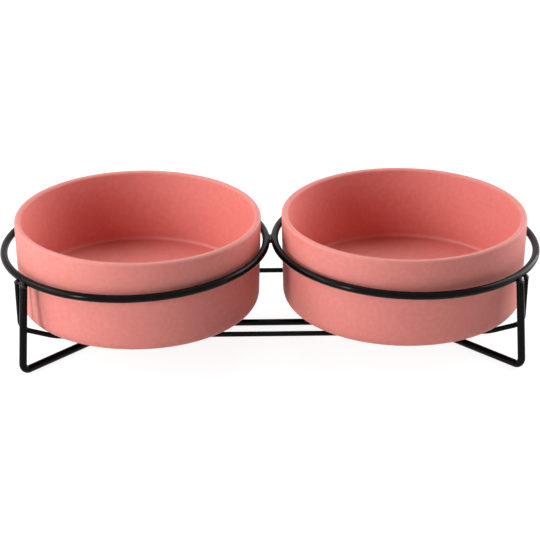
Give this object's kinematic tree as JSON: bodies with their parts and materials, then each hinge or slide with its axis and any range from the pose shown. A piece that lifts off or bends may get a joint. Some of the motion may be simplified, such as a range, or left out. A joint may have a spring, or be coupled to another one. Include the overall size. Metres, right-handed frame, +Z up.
{
  "type": "double pet bowl",
  "caption": "Round straight-sided ceramic food and water bowls standing loose side by side in a low welded round-wire stand with splayed legs and thin cradle wires.",
  "frame": {"origin": "on the floor under the middle of the stand", "axes": "+X along the pair of bowls to the right, +Y to the rear, +Z up"},
  "size_m": [0.343, 0.1712, 0.0799],
  "materials": {
    "glaze": "satin",
    "wire_coat": "satin powder coat",
    "weld_bead": "satin powder coat over weld"
  },
  "bodies": {
    "stand": {"left_ring": "wire_coat", "right_ring": "wire_coat", "left_leg_frame": "wire_coat", "right_leg_frame": "wire_coat", "centre_bar": "wire_coat", "front_cradle_wire": "wire_coat", "rear_cradle_wire": "wire_coat", "ring_joint_weld": "weld_bead", "left_leg_welds": "weld_bead", "right_leg_welds": "weld_bead", "left_cradle_welds": "weld_bead", "right_cradle_welds": "weld_bead", "left_bar_weld": "weld_bead", "right_bar_weld": "weld_bead"},
    "left_bowl": {"left_bowl": "glaze"},
    "right_bowl": {"right_bowl": "glaze"}
  },
  "joints": [
    {"name": "left_bowl_lift", "type": "slide", "parent": "stand", "child": "left_bowl", "axis": [0, 0, 1], "range_m": [0, 0.065]},
    {"name": "right_bowl_lift", "type": "slide", "parent": "stand", "child": "right_bowl", "axis": [0, 0, 1], "range_m": [0, 0.065]}
  ]
}
